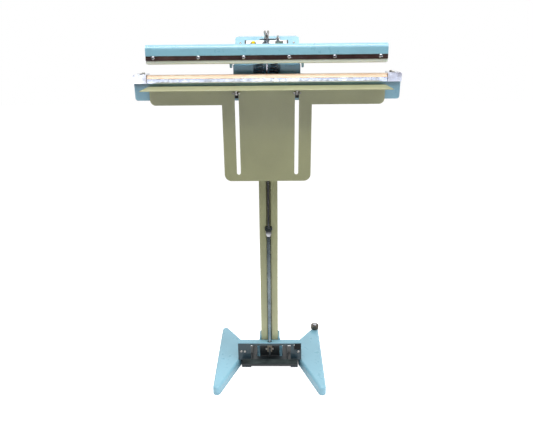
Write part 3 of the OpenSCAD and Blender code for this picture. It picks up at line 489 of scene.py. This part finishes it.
def make_finishes():
    """One finish for each of the record's material slots."""
    silver = tone(226, 228, 232)
    blue = tone(146, 201, 221)
    slate = tone(42, 66, 76)
    return {
        "blue_paint": paint("blue_paint", blue, tone(198, 226, 234), 0.30, coat=0.6),
        "cream_paint": paint("cream_paint", tone(196, 197, 150), tone(228, 230, 204), 0.34, coat=0.45),
        # Dark slate paint of its own, made darker still as painted shade for the pedal parts between the feet
        "slate_paint": paint("slate_paint", tone(20, 30, 34), tone(84, 98, 104), 0.42, coat=0.15),
        # The crossmember is blue only along its top rim; its face below is dark slate, painted shade for the
        # shadow under the rim
        "blue_over_painted_shade": paint("blue_over_painted_shade", blue, tone(150, 170, 176), 0.34, 0.3, below=slate,
                                 split=above(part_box("crossmember")[1].z - 3.5 * MM)),
        # The base plate is near-black except its gussets and the rim above: painted shade for the dark inside the
        # crossmember's window
        "painted_shade_with_blue": paint("painted_shade_with_blue", blue, tone(150, 170, 176), 0.34, 0.3,
                                 below=tone(14, 22, 26),
                                 split=gussets_and_rim(32.6 * MM, 8.6 * MM, 92 * MM)),
        "chrome_plate": metal("chrome_plate", silver, 0.09, stain=tone(176, 174, 180)),
        "bright_aluminium": metal("bright_aluminium", tone(238, 241, 247), 0.13, (0.04, 1, 1),
                                  stain=tone(206, 214, 234)),
        "dark_zinc": metal("dark_zinc", tone(128, 122, 112), 0.34, stain=tone(84, 78, 70),
                           worn=tone(176, 172, 164)),
        "dull_tube": metal("dull_tube", tone(150, 162, 168), 0.26, (1, 1, 0.05), stain=tone(112, 124, 132)),
        "zinc_steel": metal("zinc_steel", tone(196, 194, 190), 0.26, stain=tone(140, 134, 124),
                            worn=tone(220, 220, 222)),
        "spring_steel": metal("spring_steel", tone(132, 134, 140), 0.18, (1, 1, 0.3), stain=tone(84, 82, 84),
                              worn=tone(190, 192, 198)),
        "laminated_steel": laminations("laminated_steel"),
        "bronze": metal("bronze", tone(196, 158, 96), 0.30, stain=tone(140, 104, 60)),
        "copper_winding": winding("copper_winding"),
        "black_rubber": rubber("black_rubber", tone(26, 26, 28), tone(66, 66, 66)),
        "tread_rubber": rubber("tread_rubber", tone(30, 40, 41), tone(74, 86, 84)),
        "silicone_rubber": silicone("silicone_rubber"),
        "insulation": rubber("insulation", tone(28, 27, 27), tone(60, 56, 52), 0.6),
        "glass_tape": woven_tape("glass_tape"),
        "element_alloy": metal("element_alloy", tone(170, 158, 148), 0.34, (0.05, 1, 1)),
        "white_panel": plastic("white_panel", tone(238, 238, 234), 0.34, coat=0.3),
        "black_plastic": plastic("black_plastic", tone(30, 30, 32), 0.36),
        "green_plastic": plastic("green_plastic", tone(10, 74, 48), 0.22, coat=0.5),
        "yellow_lens": lens("yellow_lens"),
        "board": plastic("board", tone(24, 96, 56), 0.34, coat=0.3),
    }


# ---- pieces from the CAD nodes ----

# Parts whose finish differs from the rest of their slot; the crossmember and base plate carry painted shade in
# dark paint
OWN_FINISH = {"crossmember": "blue_over_painted_shade", "base_plate": "painted_shade_with_blue", "lower_rod": "dull_tube",
              "rod_clevis": "dark_zinc", "levelling_screw": "dark_zinc"}


def mesh_piece(name, shape, slot, body, smooth_angle=38, finish=None):
    """Turns a bmesh into a shown piece that takes a slot's finish and rides on a body."""
    bmesh.ops.recalc_face_normals(shape, faces=shape.faces)
    mesh = bpy.data.meshes.new(name)
    shape.to_mesh(mesh)
    shape.free()
    mesh.shade_smooth()
    mesh.set_sharp_from_angle(angle=math.radians(smooth_angle))
    mesh.materials.append(FINISHES[finish or slot])
    piece = bpy.data.objects.new(name, mesh)
    bpy.context.scene.collection.objects.link(piece)
    weighted = piece.modifiers.new("even_faces", "WEIGHTED_NORMAL")
    weighted.keep_sharp = True
    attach(piece, body)
    return piece


def welded(node):
    """The CAD node's shape as one closed bmesh, with its flat faces whole again."""
    shape = bmesh.new()
    shape.from_mesh(NODES[node].data)
    bmesh.ops.remove_doubles(shape, verts=shape.verts, dist=WELD_DISTANCE)
    bmesh.ops.dissolve_limit(shape, angle_limit=math.radians(0.4), verts=shape.verts, edges=shape.edges)
    return shape


def eased(node, ease):
    """The CAD node with its sharp edges eased by a small radius; the piece stands for the node."""
    shape = welded(node)
    sharp = [edge for edge in shape.edges
             if len(edge.link_faces) == 2 and edge.calc_face_angle(0) > math.radians(38)]
    if ease:
        bmesh.ops.bevel(shape, geom=sharp, offset=ease, segments=2, profile=0.5, affect="EDGES",
                        clamp_overlap=True)
    piece = mesh_piece(node + "_piece", shape, SLOT_OF[node], BODY_OF[node], finish=OWN_FINISH.get(node))
    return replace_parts(piece, node)


# How much the edges of each part are eased: folded and machined edges, in metres
EASES = {
    0.0: ["left_foot", "right_foot", "indicator_lamp"],
    0.0010: ["column", "silicone_strip"],
    0.0008: ["crossmember", "base_plate", "pedal_plate", "body_housing", "rear_cover", "body_floor",
             "lower_beam", "yoke", "upper_jaw_cover", "transformer_core", "transformer_coil"],
    0.0005: ["pedal_pad", "terminal_cover_left", "terminal_cover_right", "upper_jaw_bar", "sealing_bar",
             "rubber_feet", "rod_clevis", "microswitch", "power_inlet", "fuse_holder", "hinge_shaft",
             "pedal_pivot_pin", "terminal_blocks", "pressure_plate"],
    0.0003: ["work_table", "base_bolts", "levelling_screw", "pedal_bushes", "clevis_pin", "lower_rod",
             "rod_coupling", "rod_adjuster", "upper_rod", "control_panel", "panel_bezels", "timer_knob",
             "power_rocker", "hinge_bushes", "switch_screw", "switch_plunger", "retaining_clips",
             "timer_board", "housing_screws"],
}


def make_eased():
    """The parts that keep their CAD shape, apart from eased edges."""
    for ease, nodes in EASES.items():
        for node in nodes:
            eased(node, ease)


# ---- pieces built here ----

def add_box(shape, middle, size):
    """Adds a box about its middle, and returns its corners."""
    made = bmesh.ops.create_cube(shape, size=1)["verts"]
    for vert in made:
        vert.co = Vector(middle) + Vector(vert.co[axis] * size[axis] for axis in range(3))
    return made


def scratch_object(name, shape):
    """A temporary object made from a bmesh, which it uses up."""
    mesh = bpy.data.meshes.new(name)
    shape.to_mesh(mesh)
    shape.free()
    made = bpy.data.objects.new(name, mesh)
    bpy.context.scene.collection.objects.link(made)
    return made


def modified(made):
    """The object's mesh with its modifiers applied, as a bmesh."""
    bpy.context.view_layer.update()
    shape = bmesh.new()
    shape.from_object(made, bpy.context.evaluated_depsgraph_get())
    return shape


def swept(shape, path, radius, sides):
    """Adds a closed round tube along a path of points."""
    rings = []
    for index, point in enumerate(path):
        ahead = path[min(index + 1, len(path) - 1)]
        behind = path[max(index - 1, 0)]
        along = (ahead - behind).normalized()
        side = along.cross(Vector((0, 0, 1)))
        if side.length < 1e-4:
            side = Vector((1, 0, 0))
        side.normalize()
        over = side.cross(along)
        here = radius(index) if callable(radius) else radius
        rings.append([shape.verts.new(point + (side * math.cos(turn) + over * math.sin(turn)) * here)
                      for turn in (math.tau * k / sides for k in range(sides))])
    for first, second in zip(rings, rings[1:]):
        for k in range(sides):
            shape.faces.new((first[k], first[(k + 1) % sides], second[(k + 1) % sides], second[k]))
    shape.faces.new(list(reversed(rings[0])))
    shape.faces.new(rings[-1])


def coil_spring(node, turns, wire):
    """A compression spring in the CAD spring's place, with one closed turn at each end."""
    low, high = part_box(node)
    centre = (low + high) / 2
    mean = (high.x - low.x) / 2 - wire / 2
    steps = 36
    open_turns = turns - 2
    open_rise = high.z - low.z - 3 * wire

    def height(turn):
        closed = (min(turn, 1) + max(turn - (turns - 1), 0)) * wire
        return closed + open_rise * min(max(turn - 1, 0), open_turns) / open_turns

    path = []
    for k in range(int(turns * steps) + 1):
        turn = k / steps
        angle = math.tau * turn
        path.append(Vector((centre.x + mean * math.cos(angle), centre.y + mean * math.sin(angle),
                            low.z + wire / 2 + height(turn))))
    shape = bmesh.new()
    swept(shape, path, wire / 2, 14)
    piece = mesh_piece(node + "_wire", shape, SLOT_OF[node], BODY_OF[node], 60)
    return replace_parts(piece, node)


def make_springs():
    """The two return springs, and the pressure spring that rides on the pull rod."""
    for node in ("return_spring_left", "return_spring_right"):
        spring = coil_spring(node, 12, 2.5 * MM)
        spring.modifiers.clear()
        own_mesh(spring)
    coil_spring("pressure_spring", 6, 2.2 * MM)


def cast(node, voxel):
    """A cast part: the CAD shape with every edge and corner melted round."""
    rough = scratch_object(node + "_rough", welded(node))
    remesh = rough.modifiers.new("voxels", "REMESH")
    remesh.mode = "VOXEL"
    remesh.voxel_size = voxel
    smooth = rough.modifiers.new("melt", "SMOOTH")
    smooth.iterations = 6
    smooth.factor = 0.5
    melted = modified(rough)
    bpy.data.objects.remove(rough)
    piece = mesh_piece(node + "_cast", melted, SLOT_OF[node], BODY_OF[node], 80)
    piece.modifiers.clear()
    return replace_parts(piece, node)


def lathe(shape, profile, sides, frame_of):
    """Adds a turned solid: profile is (radius, height) from its foot on the axis to its top on the axis."""
    rings = []
    for radius, height in profile:
        if radius < 1e-7:
            rings.append([shape.verts.new(frame_of @ Vector((0, 0, height)))])
            continue
        ring = [Vector((radius * math.cos(turn), radius * math.sin(turn), height))
                for turn in (math.tau * k / sides for k in range(sides))]
        rings.append([shape.verts.new(frame_of @ point) for point in ring])
    for first, second in zip(rings, rings[1:]):
        for k in range(sides):
            after = (k + 1) % sides
            corners = [first[k % len(first)], first[after % len(first)],
                       second[after % len(second)], second[k % len(second)]]
            distinct = [v for i, v in enumerate(corners) if v not in corners[:i]]
            if len(distinct) > 2:
                shape.faces.new(distinct)


def pan_head(radius, height, shank_radius, shank):
    """A domed cross-head screw, head up from the origin, as a mesh."""
    shape = bmesh.new()
    crown = [(radius * math.sin(a), height * (0.42 + 0.58 * math.cos(a)))
             for a in (math.radians(d) for d in (90, 78, 64, 50, 36, 22, 10, 0))]
    profile = [(0, -shank), (shank_radius * 0.8, -shank), (shank_radius, -shank + shank_radius * 0.3),
               (shank_radius, 0), (radius * 0.97, 0), (radius, height * 0.06), *crown]
    lathe(shape, profile, 40, Matrix.Identity(4))
    bmesh.ops.recalc_face_normals(shape, faces=shape.faces)
    screw = scratch_object("screw", shape)
    cutter_shape = bmesh.new()
    for turn in (0, 90):
        made = bmesh.ops.create_cube(cutter_shape, size=1)["verts"]
        for corner in made:
            narrow = 0.45 if corner.co.z < 0 else 1.0
            corner.co.x *= radius * 1.15 * narrow
            corner.co.y *= radius * 0.24 * (0.7 if corner.co.z < 0 else 1.0)
            corner.co.z = height * (0.35 if corner.co.z < 0 else 1.2)
        bmesh.ops.rotate(cutter_shape, verts=made, matrix=Matrix.Rotation(math.radians(turn), 3, "Z"))
    cross = scratch_object("cross", cutter_shape)
    cut = screw.modifiers.new("cross", "BOOLEAN")
    cut.object = cross
    cut.solver = "EXACT"
    cut.use_self = True
    done = modified(screw)
    for tool in (screw, cross):
        bpy.data.objects.remove(tool)
    template = bpy.data.meshes.new("screw_template")
    done.to_mesh(template)
    done.free()
    return template


def solids_of(node):
    """The lowest and highest corner of each separate solid of a CAD node, left to right."""
    shape = bmesh.new()
    shape.from_mesh(NODES[node].data)
    bmesh.ops.remove_doubles(shape, verts=shape.verts, dist=WELD_DISTANCE)
    shape.verts.ensure_lookup_table()
    seen = set()
    boxes = []
    for start in shape.verts:
        if start.index in seen:
            continue
        group = [start]
        seen.add(start.index)
        for vert in group:
            for edge in vert.link_edges:
                other = edge.other_vert(vert)
                if other.index not in seen:
                    seen.add(other.index)
                    group.append(other)
        low = Vector(min(v.co[axis] for v in group) for axis in range(3))
        high = Vector(max(v.co[axis] for v in group) for axis in range(3))
        boxes.append((low, high))
    shape.free()
    return sorted(boxes, key=lambda pair: tuple(round(value, 4) for value in pair[0]))


def add_copy(shape, template, place):
    """Adds a copy of a mesh, moved to its place."""
    copy = template.copy()
    copy.transform(place)
    shape.from_mesh(copy)
    bpy.data.meshes.remove(copy)


def make_screws():
    """Cross-head screws along the upper jaw and through the terminal covers."""
    rng = random.Random(4)
    open_angle = math.radians(JOINTS["jaw_close"]["range_deg"][1])
    outward = Vector((0, -math.cos(open_angle), math.sin(open_angle)))
    template = pan_head(4.6 * MM, 3.2 * MM, 2 * MM, 15 * MM)
    shape = bmesh.new()
    for low, high in solids_of("jaw_screws"):
        middle = (low + high) / 2
        head = middle + outward * 6.5 * MM
        turn = Vector((0, 0, 1)).rotation_difference(outward).to_matrix().to_4x4()
        spin = Matrix.Rotation(rng.uniform(0, math.pi / 2), 4, "Z")
        add_copy(shape, template, Matrix.Translation(head) @ turn @ spin)
    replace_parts(mesh_piece("jaw_screws_heads", shape, "chrome_plate", "jaw", 34), "jaw_screws")

    shank = 16 * MM
    template = pan_head(4 * MM, 3.2 * MM, 1.5 * MM, shank)
    shape = bmesh.new()
    for low, high in solids_of("terminal_screws"):
        head = Vector(((low.x + high.x) / 2, (low.y + high.y) / 2, low.z + shank))
        spin = Matrix.Rotation(rng.uniform(0, math.pi / 2), 4, "Z")
        add_copy(shape, template, Matrix.Translation(head) @ spin)
    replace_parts(mesh_piece("terminal_screws_heads", shape, "zinc_steel", "stand", 34), "terminal_screws")


def make_tape():
    """Glass-cloth tape laid over the sealing bar, with soft ripples and slightly uneven edges."""
    low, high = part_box("ptfe_tape")
    top = high.z
    section = [(low.y, low.z), (low.y + TAPE_FRONT_SLOPE, top), (high.y - TAPE_REAR_SLOPE, top),
               (high.y, low.z)]
    rng = random.Random(11)
    across = []
    for (y0, z0), (y1, z1), steps in zip(section, section[1:], (6, 14, 6)):
        across += [(y0 + (y1 - y0) * k / steps, z0 + (z1 - z0) * k / steps) for k in range(steps)]
    across.append(section[-1])
    count = 260
    phase = [rng.uniform(0, math.tau) for _ in range(3)]
    shape = bmesh.new()
    rows = []
    for i in range(count + 1):
        x = low.x + (high.x - low.x) * i / count
        fray = rng.uniform(-0.25, 0.25) * MM
        ripple = 0.10 * MM * (math.sin(x * 61 + phase[0]) + math.sin(x * 143 + phase[1])) * 0.5
        row = []
        for k, (y, z) in enumerate(across):
            edge = k in (0, len(across) - 1)
            lift = ripple * math.sin(math.pi * k / (len(across) - 1)) - 0.1 * MM
            row.append(shape.verts.new((x, y, z + (fray + 0.3 * MM if edge else lift))))
        rows.append(row)
    for first, second in zip(rows, rows[1:]):
        for k in range(len(across) - 1):
            shape.faces.new((first[k], second[k], second[k + 1], first[k + 1]))
    tape = mesh_piece("ptfe_tape_cloth", shape, "glass_tape", "stand", 60)
    tape.modifiers.clear()
    thick = tape.modifiers.new("thickness", "SOLIDIFY")
    thick.thickness = TAPE_THICKNESS
    thick.offset = -1
    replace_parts(tape, "ptfe_tape")


def make_dial_marks():
    """Ticks and numbers printed on the panel around the timer knob."""
    timer = JOINTS["timer_turn"]
    normal = Vector(timer["axis"]).normalized()
    across = Vector((1, 0, 0))
    up = normal.cross(across)
    behind_knob = 4.4 * MM
    centre = Vector(timer["pos_m"]) - normal * behind_knob
    place = Matrix.Translation(centre) @ Matrix((across, up, normal)).transposed().to_4x4()
    ink = 0.06 * MM
    tick_width = 0.35 * MM
    inner = 12.0 * MM
    digit_radius = 16.6 * MM
    sweep = 280
    count = 20
    angles = [math.radians(90 + sweep / 2 - sweep * k / count) for k in range(count + 1)]
    shape = bmesh.new()
    for k, angle in enumerate(angles):
        length = 2.2 * MM if k % 2 == 0 else 1.3 * MM
        made = add_box(shape, (inner + length / 2, 0, ink / 2), (length, tick_width, ink))
        bmesh.ops.transform(shape, verts=made, matrix=place @ Matrix.Rotation(angle, 4, "Z"))
    for number, angle in enumerate(angles[::2]):
        text = bpy.data.curves.new("digit", "FONT")
        text.body = str(number)
        text.size = 3.2 * MM
        text.extrude = ink / 2
        text.align_x = "CENTER"
        text.align_y = "CENTER"
        digit = bpy.data.objects.new("digit", text)
        bpy.context.scene.collection.objects.link(digit)
        bpy.context.view_layer.update()
        mesh = bpy.data.meshes.new_from_object(digit.evaluated_get(bpy.context.evaluated_depsgraph_get()))
        spot = Vector((digit_radius * math.cos(angle), digit_radius * math.sin(angle), ink / 2))
        mesh.transform(place @ Matrix.Translation(spot))
        shape.from_mesh(mesh)
        bpy.data.objects.remove(digit)
        bpy.data.meshes.remove(mesh)
    marks = mesh_piece("dial_marks", shape, "black_plastic", "stand")
    marks.modifiers.clear()


def weld_bead(name, points, radius, slot, body):
    """A hand-laid weld: a ripple of overlapping puddles along a line."""
    rng = random.Random(name)
    path = []
    for start, end in zip(points, points[1:]):
        count = max(int((end - start).length / (0.8 * MM)), 2)
        path += [start.lerp(end, k / count) for k in range(count)]
    path.append(points[-1])
    sizes = [radius * (0.88 + 0.16 * abs(math.sin(k * 0.9)) + rng.uniform(-0.04, 0.04))
             for k in range(len(path))]
    sizes[0] = sizes[-1] = radius * 0.35
    shape = bmesh.new()
    swept(shape, path, lambda k: sizes[k], 10)
    return mesh_piece(name, shape, slot, body, 70)


def make_welds():
    """Beads at the column's socket and gussets, and round the column under its top plate."""
    bead = 1.6 * MM
    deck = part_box("base_plate")[0].z + 5 * MM
    socket_half, gusset_end, gusset_face = 33 * MM, 42 * MM, 9.6 * MM
    for side, label in ((-1, "left"), (1, "right")):
        x = side * socket_half
        gusset = [Vector((x, gusset_face, deck)), Vector((side * gusset_end, gusset_face, deck))]
        corner = [Vector((x, -4 * MM, deck)), Vector((x, 6 * MM, deck))]
        weld_bead(f"gusset_weld_{label}", gusset, bead, "blue_paint", "stand")
        weld_bead(f"socket_weld_{label}", corner, bead, "blue_paint", "stand")
    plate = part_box("column")[1].z - 4 * MM
    half = 27.5 * MM
    back = 31 * MM
    weld_bead("column_weld", [Vector((-half, -8 * MM, plate)), Vector((-half, back, plate)),
                              Vector((half, back, plate)), Vector((half, -8 * MM, plate))],
              1.8 * MM, "cream_paint", "stand")


def make_inlet_pins():
    """Three flat blades inside the mains inlet."""
    low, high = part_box("power_inlet")
    middle = Vector(((low.x + high.x) / 2, high.y - 14 * MM, (low.z + high.z) / 2))
    shape = bmesh.new()
    for x, z in ((-7, -2), (0, 2.4), (7, -2)):
        add_box(shape, middle + Vector((x * MM, 0, z * MM)), (2 * MM, 16 * MM, 4 * MM))
    bmesh.ops.bevel(shape, geom=shape.edges[:], offset=0.4 * MM, segments=2, profile=0.5, affect="EDGES")
    mesh_piece("inlet_pins", shape, "zinc_steel", "stand")


def block(name, low, high, ease, slot, body):
    """A solid block with eased edges, between two corners."""
    shape = bmesh.new()
    add_box(shape, (Vector(low) + Vector(high)) / 2, Vector(high) - Vector(low))
    bmesh.ops.bevel(shape, geom=shape.edges[:], offset=ease, segments=3, profile=0.5, affect="EDGES")
    return mesh_piece(name, shape, slot, body)


def make_small_blocks():
    """Dark blocks as painted shade: one behind each table slot, where the beam lies in shadow, and one in the
    notch at the crossmember's right end.
    """
    half = 4.6 * MM
    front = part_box("work_table")[1].y + 0.5 * MM
    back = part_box("lower_beam")[0].y - 0.1 * MM
    for label in ("left", "right"):
        bolt = Vector(JOINTS[f"{label}_bolt_turn"]["pos_m"])
        # Painted shade: black blocks where the beam shows in shadow through the slots, and in the crossmember's
        # notch
        block(f"slot_shade_block_{label}", (bolt.x - half, front, bolt.z - 15 * MM),
              (bolt.x + half, back, bolt.z - 4.4 * MM), 0.4 * MM, "black_rubber", "stand")
    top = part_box("crossmember")[1].z
    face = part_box("crossmember")[0].y
    block("notch_shade_block", (81 * MM, face + 0.6 * MM, top - 27 * MM), (103 * MM, face + 14 * MM, top - 3.4 * MM),
          1.2 * MM, "black_rubber", "stand")


def make_level_cap():
    """The bright locking nut in the middle of the levelling screw's knurled head."""
    low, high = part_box("levelling_screw")
    centre = (low + high) / 2
    shape = bmesh.new()
    profile = [(0, -1), (6.2, -1), (6.5, 0.2), (6.5, 1.6), (6.0, 2.4), (4.4, 2.9), (2.2, 3.1), (0, 3.2)]
    lathe(shape, [(radius * MM, height * MM) for radius, height in profile], 48,
          Matrix.Translation((centre.x, centre.y, high.z)))
    mesh_piece("levelling_screw_nut", shape, "chrome_plate", "leveller")


def dress_hidden_nodes():
    """Finishes for the CAD nodes that still show."""
    for name, node in NODES.items():
        if not node.hide_render:
            for index in range(len(node.material_slots)):
                node.material_slots[index].material = FINISHES[SLOT_OF[name]]


# ---- scene ----

scene = bpy.context.scene
scene.view_settings.view_transform = "Standard"
make_camera()
make_world()
make_floor()
make_card()
area_light("ceiling", (0.05, -0.5, 2.7), (0, -0.1, 0.5), 1.8, 0.28, 25, (1.0, 0.99, 0.97))
area_light("key", (0.35, -1.5, 2.5), (0, 0, 0.9), 2.2, 0.3, 9, (1.0, 1.0, 0.99))
area_light("side_fill", (2.3, -1.0, 0.6), (0, 0, 0.25), 0.9, 0.9, 11, (0.95, 0.98, 1.0))

FINISHES = make_finishes()
make_eased()
make_springs()
for cast_node in ("pressure_wing_nut", "wing_bolt_left", "wing_bolt_right"):
    cast(cast_node, 0.45 * MM)
make_screws()
make_tape()
make_dial_marks()
make_welds()
make_inlet_pins()
make_small_blocks()
make_level_cap()
dress_hidden_nodes()
